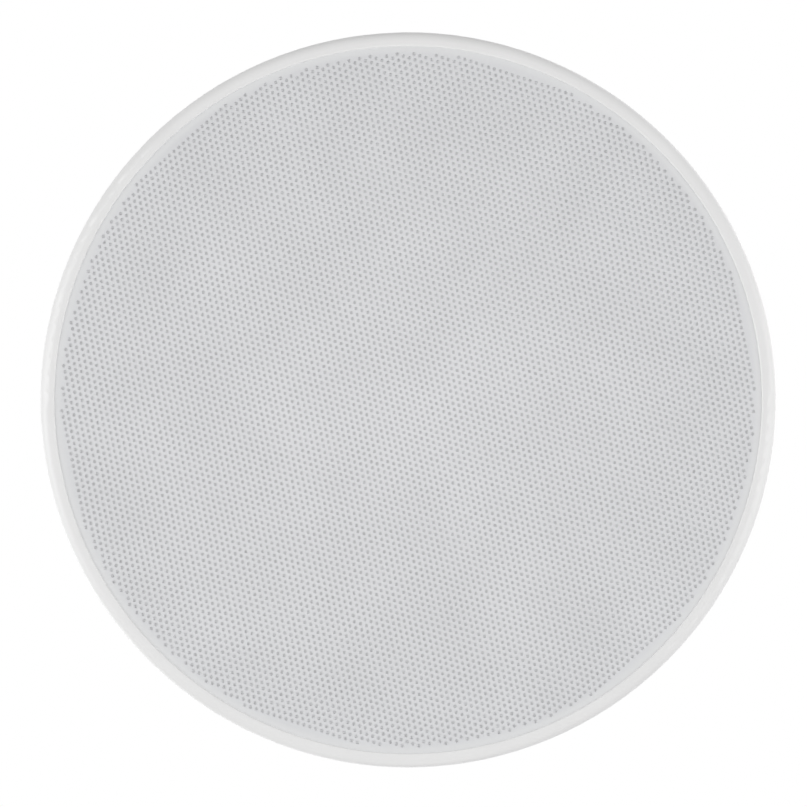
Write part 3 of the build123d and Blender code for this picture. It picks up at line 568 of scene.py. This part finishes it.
def cellRows(name, look, sides):
    clearAll()
    turn = math.radians(look["rowAngle"])
    bpy.ops.mesh.primitive_circle_add(
        vertices=6, radius=look["pitch"] / math.sqrt(3), fill_type="NOTHING" if sides else "NGON",
        location=(0, 0, look["front"]), rotation=(0, 0, turn))
    piece = nameActive(name)
    settle(piece)
    if sides:
        edit(piece)
        bpy.ops.mesh.primitive_circle_add(
            vertices=sides, radius=look["holeRadius"], fill_type="NOTHING",
            location=(0, 0, look["front"]), rotation=(0, 0, turn))
        bpy.ops.mesh.select_all(action="SELECT")
        bpy.ops.mesh.bridge_edge_loops()
        leave()
    if piece.data.polygons[0].normal.z > 0:
        edit(piece)
        bpy.ops.mesh.select_all(action="SELECT")
        bpy.ops.mesh.flip_normals()
        leave()
    corners = len(piece.data.vertices)
    turns = (turn, turn + math.pi / 3)
    steps = [Vector((math.cos(t), math.sin(t), 0)) * look["pitch"] for t in turns]
    for step in steps:
        rows = piece.modifiers.new("rows", "ARRAY")
        rows.count = look["rows"]
        rows.use_relative_offset = False
        rows.use_constant_offset = True
        rows.constant_offset_displace = step
        focus(piece)
        bpy.ops.object.modifier_apply(modifier=rows.name)
    piece.location = -(steps[0] + steps[1]) * ((look["rows"] - 1) / 2)
    settle(piece)
    return piece, corners


def cellMiddles(piece, corners):
    spots = np.zeros(len(piece.data.vertices) * 3, np.float32)
    piece.data.vertices.foreach_get("co", spots)
    return spots.reshape(-1, corners, 3).mean(axis=1)


def pickCells(piece, corners, wanted):
    piece.data.vertices.foreach_set("select", np.repeat(wanted, corners))
    piece.data.polygons.foreach_set("select", np.zeros(len(piece.data.polygons), bool))
    piece.data.edges.foreach_set("select", np.zeros(len(piece.data.edges), bool))
    edit(piece)


def trimCells(piece, corners, low, high):
    reach = np.linalg.norm(cellMiddles(piece, corners)[:, :2], axis=1)
    pickCells(piece, corners, (reach <= low) | (reach > high))
    bpy.ops.mesh.delete(type="VERT")
    leave()


def drawIn(piece, corners, circle, slack):  # cells past the circle go, corners past it move onto it
    spots = np.zeros(len(piece.data.vertices) * 3, np.float32)
    piece.data.vertices.foreach_get("co", spots)
    reach = np.linalg.norm(spots.reshape(-1, 3)[:, :2], axis=1)
    pickCells(piece, corners, reach.reshape(-1, corners).min(axis=1) > circle - slack)
    bpy.ops.mesh.delete(type="VERT")
    leave()
    for corner in piece.data.vertices:
        far = corner.co.xy.length
        if far > circle:
            corner.co.xy *= circle / far


def sectorOf(piece, corners, count):
    middles = cellMiddles(piece, corners)
    angle = np.arctan2(middles[:, 1], middles[:, 0]) % (2 * math.pi)
    return (angle // (2 * math.pi / count)).astype(int)


def splitSectors(piece, corners, count):
    parts = []
    for sector in range(1, count):
        pickCells(piece, corners, sectorOf(piece, corners, count) == sector)
        bpy.ops.mesh.separate(type="SELECTED")
        leave()
        parts.append([other for other in bpy.context.selected_objects if other != piece][0])
    return [piece, *parts]


def makeGrille(look):
    holed, holedCorners = cellRows("grille_holes", look, look["holeSides"])
    trimCells(holed, holedCorners, -1.0, look["holeReach"])
    plain, plainCorners = cellRows("grille_plain", look, 0)
    trimCells(plain, plainCorners, look["holeReach"], look["plainReach"] + look["pitch"])
    fields = splitSectors(holed, holedCorners, look["sectors"])
    borders = splitSectors(plain, plainCorners, look["sectors"])
    for number, (field, border) in enumerate(zip(fields, borders), start=1):
        drawIn(border, plainCorners, look["plainReach"], look["cellSlack"])
        focus(field)
        border.select_set(True)
        bpy.ops.object.join()
        nameActive(f"grille_field_{number}")
        edit(field)
        bpy.ops.mesh.select_all(action="SELECT")
        bpy.ops.mesh.remove_doubles(threshold=10 * weld)
        leave()
        sheet = field.modifiers.new("sheet", "SOLIDIFY")
        sheet.thickness = look["sheet"]
        sheet.offset = -1
        applyAll(field)
        smooth(field, look["fieldSmooth"])
        dress(field, "grille_paint", "grille", "grille")
    return sum(len(field.data.polygons) for field in fields)


def makeRim(look):
    front, back = look["front"] + look["rimDrop"], look["front"] + look["sheet"]
    outer, inner = look["rimRadius"], look["rimRadius"] - look["sheet"]
    edge, fillet = look["rimRound"], look["rimFillet"]
    outline = [(look["rimInner"], front)]
    outline += arc((outer - edge, front + edge), edge, -90, 0, look["rimRoundPoints"])
    outline += [(outer, look["rimFoot"]), (inner, look["rimFoot"])]
    outline += arc((inner - fillet, back + fillet), fillet, 0, -90, look["rimFilletPoints"])
    outline += [(look["rimInner"], back), (look["rimInner"], front)]
    rim = lathe("grille_rim", outline, look["rimSteps"])
    smooth(rim, look["rimSmooth"])
    dress(rim, "grille_paint", "grille", "grille")


print("grille faces:", makeGrille(grilleLook))
makeRim(grilleLook)


# Scrim cloth behind the holes

scrimLook = {
    "radius": 0.1118,
    "front": -0.00503,  # the nap stands a little way into the holes
    "back": -0.00462,
    "steps": 96,
    "rings": 9,
    "smooth": 35,
}


def makeScrim(look):
    radii = [look["radius"] * k / look["rings"] for k in range(look["rings"] + 1)]
    outline = [(r, look["front"]) for r in radii] + [(r, look["back"]) for r in reversed(radii)]
    scrim = lathe("grille_cloth", outline, look["steps"])
    smooth(scrim, look["smooth"])
    dress(scrim, "scrim_cloth", "grille", "grille_scrim")


makeScrim(scrimLook)


# Surround and spider: rings turned from their sections; how far each point would go with the cone is
# worked out but not applied

surroundLook = {
    "outer": 0.0756,
    "inner": 0.0576,
    "front": 0.0120,
    "sheet": 0.0008,
    "rollCircle": 0.066,
    "rollRadius": 0.005,
    "rollPoints": 25,
    "insidePoints": 21,
    "steps": 160,
    "smooth": 40,
}
spiderLook = {
    "outer": 0.045,
    "inner": 0.013,
    "front": 0.0382,
    "sheet": 0.0006,
    "waveOuter": 0.036,
    "waveInner": 0.015,
    "waves": 5,
    "wavePoints": 12,
    "waveRise": 0.00075,
    "steps": 144,
    "smooth": 50,
}


def giveWithCone(piece, still, moving):
    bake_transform(piece)
    spots = np.zeros(len(piece.data.vertices) * 3, np.float32)
    piece.data.vertices.foreach_get("co", spots)
    reach = np.linalg.norm(spots.reshape(-1, 3)[:, :2], axis=1)
    share = np.clip((still - reach) / (still - moving), 0, 1)
    share = share * share * (3 - 2 * share)


def makeSurround(look):
    front, back = look["front"], look["front"] + look["sheet"]
    middle, roll = (look["rollCircle"], front), look["rollRadius"]
    inside = roll - look["sheet"]
    outline = [(look["outer"], front), *arc(middle, roll, 0, -180, look["rollPoints"])]
    outline += [(look["inner"], front), (look["inner"], back), (middle[0] - inside, back)]
    outline += arc(middle, inside, -180, 0, look["insidePoints"])
    outline += [(middle[0] + inside, back), (look["outer"], back)]
    surround = lathe("surround_roll", outline + outline[:1], look["steps"])
    smooth(surround, look["smooth"])
    cover(surround, "surround_rubber", "woofer_surround")
    giveWithCone(surround, middle[0] + roll, middle[0] - roll)


def makeSpider(look):
    reach = look["waveOuter"] - look["waveInner"]
    waves = []
    for part in np.linspace(0, 1, look["wavePoints"] * look["waves"] + 1):
        lift = look["waveRise"] * math.sin(2 * math.pi * look["waves"] * part)
        waves.append((look["waveOuter"] - reach * part, look["front"] - lift))
    face = [(look["outer"], look["front"]), *waves, (look["inner"], look["front"])]
    outline = face + [(r, z + look["sheet"]) for r, z in reversed(face)]
    spider = lathe("spider_waves", outline + outline[:1], look["steps"])
    smooth(spider, look["smooth"])
    cover(spider, "spider_cloth", "woofer_spider")
    giveWithCone(spider, look["waveOuter"], look["waveInner"])


makeSurround(surroundLook)
makeSpider(spiderLook)
print("surround and spider turned")


# Clamp screws: a rolled thread under a flat head with a cross recess

screwLook = {
    "pitch": 0.002,
    "root": 0.00150,
    "crest": 0.00196,
    "flankFoot": 0.24,  # parts of the pitch, and as much at the tooth's other side
    "flankTop": 0.44,
    "low": -0.0012,
    "high": 0.0456,
    "turnSteps": 20,
    "headRadius": 0.0038,
    "headFront": -0.0024,
    "headBack": -0.0009,
    "headRound": 0.0005,
    "headRoundPoints": 6,
    "headSteps": 40,
    "recessLength": 0.0040,
    "recessWidth": 0.0009,
    "recessDepth": 0.0010,
    "smooth": 35,
    "count": 4,
}


def makeThread(look):
    pitch, root, crest = look["pitch"], look["root"], look["crest"]
    foot, top = look["flankFoot"], look["flankTop"]
    tooth = [(root, 0), (root, foot), (crest, top), (crest, 1 - top), (root, 1 - foot), (root, 1)]
    thread = section("clamp_thread", [(r, part * pitch + look["low"] - pitch) for r, part in tooth])
    spiral = thread.modifiers.new("spiral", "SCREW")
    spiral.axis = "Z"
    spiral.angle = 2 * math.pi
    spiral.screw_offset = pitch
    spiral.iterations = math.ceil((look["high"] - look["low"]) / pitch) + 2
    spiral.steps = look["turnSteps"]
    spiral.render_steps = look["turnSteps"]
    applyAll(thread)
    closeMesh(thread, 5 * weld)
    for height, side in ((look["low"], -1), (look["high"], 1)):
        edit(thread)
        bpy.ops.mesh.select_all(action="SELECT")
        bpy.ops.mesh.bisect(
            plane_co=(0, 0, height), plane_no=(0, 0, side), use_fill=True, clear_outer=True)
        leave()
    closeMesh(thread, 5 * weld)
    return thread


def makeHead(look):
    radius, edge = look["headRadius"], look["headRound"]
    outline = [(0, look["headFront"])]
    outline += arc((radius - edge, look["headFront"] + edge), edge, -90, 0, look["headRoundPoints"])
    outline += [(radius, look["headBack"]), (0, look["headBack"])]
    head = lathe("clamp_head", outline, look["headSteps"])
    for turn in (0, math.pi / 2):
        clearAll()
        bpy.ops.mesh.primitive_cube_add(
            size=1, location=(0, 0, look["headFront"]), rotation=(0, 0, turn))
        slot = nameActive("recess")
        slot.scale = (look["recessLength"], look["recessWidth"], look["recessDepth"] * 2)
        settle(slot)
        cut = head.modifiers.new("recess", "BOOLEAN")
        cut.operation = "DIFFERENCE"
        cut.object = slot
        applyAll(head)
        bpy.data.objects.remove(slot)
    closeMesh(head, 10 * weld)
    return head


def makeScrews(look):
    thread = makeThread(look)
    head = makeHead(look)
    focus(thread)
    head.select_set(True)
    bpy.ops.object.join()
    smooth(thread, look["smooth"])
    for number in range(1, look["count"] + 1):
        low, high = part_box(f"clamp_screw_{number}")
        middle = (low + high) / 2
        screw = copyTo(thread, f"clamp_bolt_{number}", (middle.x, middle.y, 0))
        dress(screw, "zinc_steel", f"screw_{number}", f"clamp_screw_{number}")
    bpy.data.objects.remove(thread)


makeScrews(screwLook)
print("clamp screws threaded:", screwLook["count"])


# Coils on the board: wire laid turn by turn, seen as rows of round beads

coilLooks = {
    "air_core_coil": {"inner": 0.006, "outer": 0.012, "wire": 0.00110, "steps": 72, "smooth": 60},
    "drum_winding": {"inner": 0.0051, "outer": 0.0086, "wire": 0.00079, "steps": 64, "smooth": 60},
}
beadLeans = (-75, -40, 0, 40, 75)  # points round one bead, in degrees from its top


def beads(start, end, outward, wire):
    start, end, outward = Vector(start), Vector(end), Vector(outward)
    count = round((end - start).length / wire)
    step = (end - start) / count
    points = []
    for turn in range(count):
        for lean in np.radians(beadLeans):
            along = start + step * (turn + 0.5 + 0.5 * math.sin(lean))
            points.append(along + outward * (step.length * 0.5 * math.cos(lean)))
    return [(point.x, point.y) for point in points]


def makeCoil(node, look):
    low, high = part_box(node)
    wire = look["wire"]
    near, far = look["inner"] + wire / 2, look["outer"] - wire / 2
    base, top = low.z + wire / 2, high.z - wire / 2
    outline = beads((far, base), (far, top), (1, 0), wire)
    outline += beads((far, top), (near, top), (0, 1), wire)
    outline += beads((near, top), (near, base), (-1, 0), wire)
    outline += beads((near, base), (far, base), (0, -1), wire)
    coil = lathe(f"{node}_wire", outline + outline[:1], look["steps"])
    middle = (low + high) / 2
    coil.location = (middle.x, middle.y, 0)
    settle(coil)
    smooth(coil, look["smooth"])
    dress(coil, "copper_wire", "speaker", node)


for node, look in coilLooks.items():
    makeCoil(node, look)
print("coils wound:", len(coilLooks))


# Wire ends on the board: out of the part, round a bend and down into its hole

leadLook = {
    "boardTurn": 45.0,  # the board's own X, in degrees from the frame's
    "coilWire": 0.00042,
    "canWire": 0.00035,
    "out": 0.0011,
    "bend": 0.0009,
    "bendSteps": 5,
    "sides": 10,
    "smooth": 40,
    "sunk": 0.0004,  # how far an end goes into the part and into the board
    "canSpread": 0.0025,
    "coilEnds": {  # height over the coil's foot, and the way out in degrees from the board's X
        "air_core_coil": ((0.0023, 8.0), (0.0034, -98.0)),
        "drum_winding": ((0.0016, 4.0), (0.0016, 84.0)),
    },
}


def makeLead(name, start, heading, out, wire, look):
    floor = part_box("crossover_board")[1].z - look["sunk"]
    clearAll()
    bpy.ops.mesh.primitive_circle_add(
        vertices=look["sides"], radius=wire, fill_type="NGON",
        location=start, rotation=heading.to_track_quat("Z", "Y").to_euler())
    lead = nameActive(name)
    settle(lead)
    edit(lead)
    bpy.ops.mesh.select_all(action="SELECT")
    bpy.ops.mesh.extrude_region_move(TRANSFORM_OT_translate={"value": heading * out})
    pivot = start + heading * out - Vector((0, 0, look["bend"]))
    across = Vector((0, 0, 1)).cross(heading)
    bpy.ops.mesh.spin(steps=look["bendSteps"], angle=math.pi / 2, center=pivot, axis=across)
    bpy.ops.mesh.extrude_region_move(TRANSFORM_OT_translate={"value": (0, 0, floor - pivot.z)})
    leave()
    closeMesh(lead)
    smooth(lead, look["smooth"])
    return lead


def boardWay(degrees, look):
    turn = math.radians(look["boardTurn"] + degrees)
    return Vector((math.cos(turn), math.sin(turn), 0))


def makeLeads(look):
    low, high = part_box("drum_core")
    flange = high.x - low.x
    for node, ends in look["coilEnds"].items():
        low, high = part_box(node)
        across = high.x - low.x
        out = look["out"] + max(0.0, flange - across) / 2  # clear of the drum's flange
        for number, (height, degrees) in enumerate(ends, start=1):
            heading = boardWay(degrees, look)
            foot = Vector(((low.x + high.x) / 2, (low.y + high.y) / 2, low.z + height))
            start = foot + heading * (across / 2 - look["sunk"])
            lead = makeLead(f"{node}_end_{number}", start, heading, out, look["coilWire"], look)
            dress(lead, "copper_wire", "speaker")
    low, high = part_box("electrolytic_capacitor")
    length = (high.x - low.x) * math.sqrt(2) - (high.z - low.z)  # the can lies at 45 degrees
    along, beside = boardWay(90, look), boardWay(0, look)
    end = (low + high) / 2 + along * (length / 2 - look["sunk"])
    for number, side in enumerate((-1, 1), start=1):
        start = end + beside * (side * look["canSpread"])
        lead = makeLead(f"capacitor_lead_{number}", start, along, look["out"], look["canWire"], look)
        dress(lead, "tag_metal", "speaker")


makeLeads(leadLook)
print("wire ends bent")


# Stage: floor under the speaker, seen from above only, and soft light from below and above

stageLook = {
    "floorHeight": -0.00605,
    "floorSize": 6.0,
    "floorColour": (0.86, 0.86, 0.86, 1),
    "floorShade": 0.985,  # of that colour, in its clouds
    "floorClouds": 8,
    "floorRough": 0.6,
    "fadeStart": 0.15,  # from here out the floor fades to the white backdrop
    "fadeEnd": 0.6,
    "ambient": (0.42, 0.418, 0.416, 1),
    "lamps": {  # place, size, watts
        "frontUnder": ((0.0, 0.0, -0.306), 0.1, 0.09),
        "leftUnder": ((1.2, -0.04, -0.6), 1.0, 9.4),
        "rightUnder": ((-1.2, -0.04, -0.6), 1.0, 8.4),
        "topUnder": ((0.0, 0.7, -0.15), 0.5, 0.05),
        "bottomUnder": ((0.0, -0.7, -0.2), 0.5, 0.55),
        "keyOver": ((0.6, -0.8, 1.0), 2.0, 6.5),
        "fillOver": ((-0.9, 0.5, 0.8), 1.6, 3.0),
    },
}


def makeFloor(look):
    clearAll()
    bpy.ops.mesh.primitive_plane_add(size=look["floorSize"], location=(0, 0, look["floorHeight"]))
    floor = nameActive("floor")
    settle(floor)
    finish = Finish("floorPaint", {"Roughness": look["floorRough"]})
    clouds = finish.noise(look["floorClouds"], 2.0)
    shade = tuple(value * look["floorShade"] for value in look["floorColour"][:3]) + (1,)
    finish.feed("Base Color", finish.mix(clouds, shade, look["floorColour"]))
    under = finish.add("ShaderNodeNewGeometry", output="Backfacing")
    clear = finish.add("ShaderNodeBsdfTransparent")
    far = finish.span(finish.reach(), look["fadeStart"], look["fadeEnd"])
    white = finish.add("ShaderNodeEmission")
    paint = Wire(finish.shader.outputs[0])
    body = finish.add("ShaderNodeMixShader", {}, {0: far * far * (3 - 2 * far), 1: paint, 2: white})
    seen = finish.add("ShaderNodeMixShader", {}, {0: under, 1: body, 2: clear})
    finish.plug(finish.tree.nodes["Material Output"].inputs["Surface"], seen)
    floor.data.materials.append(finish.material)
    floor.visible_diffuse = False
    floor.visible_glossy = False
    floor.visible_transmission = False
    floor.visible_shadow = False


def makeLamps(look):
    for name, (place, size, watts) in look["lamps"].items():
        clearAll()
        bpy.ops.object.light_add(type="AREA", location=place)
        lamp = bpy.context.active_object
        lamp.name = name
        lamp.data.shape = "DISK"
        lamp.data.size = size
        lamp.data.energy = watts
        lamp.visible_camera = False
        lamp.rotation_euler = (-Vector(place)).to_track_quat("-Z", "Y").to_euler()


def makeWorld(look):
    world = bpy.data.worlds.new("studio")
    bpy.context.scene.world = world
    world.use_nodes = True
    tree = world.node_tree
    tree.nodes.clear()
    path = tree.nodes.new("ShaderNodeLightPath")
    seen = Wire(path.outputs["Is Camera Ray"])
    for ray in ("Is Glossy Ray", "Is Transmission Ray"):
        seen = seen.maths("MAXIMUM", seen, Wire(path.outputs[ray]))
    blend = tree.nodes.new("ShaderNodeMix")
    blend.data_type = "RGBA"
    blend.inputs[6].default_value = look["ambient"]
    blend.inputs[7].default_value = (1, 1, 1, 1)
    tree.links.new(seen.socket, blend.inputs[0])
    sky = tree.nodes.new("ShaderNodeBackground")
    tree.links.new(blend.outputs[2], sky.inputs["Color"])
    end = tree.nodes.new("ShaderNodeOutputWorld")
    tree.links.new(sky.outputs[0], end.inputs["Surface"])


makeFloor(stageLook)
makeLamps(stageLook)
makeWorld(stageLook)
bpy.context.scene.view_settings.view_transform = "Standard"
print("stage lit")
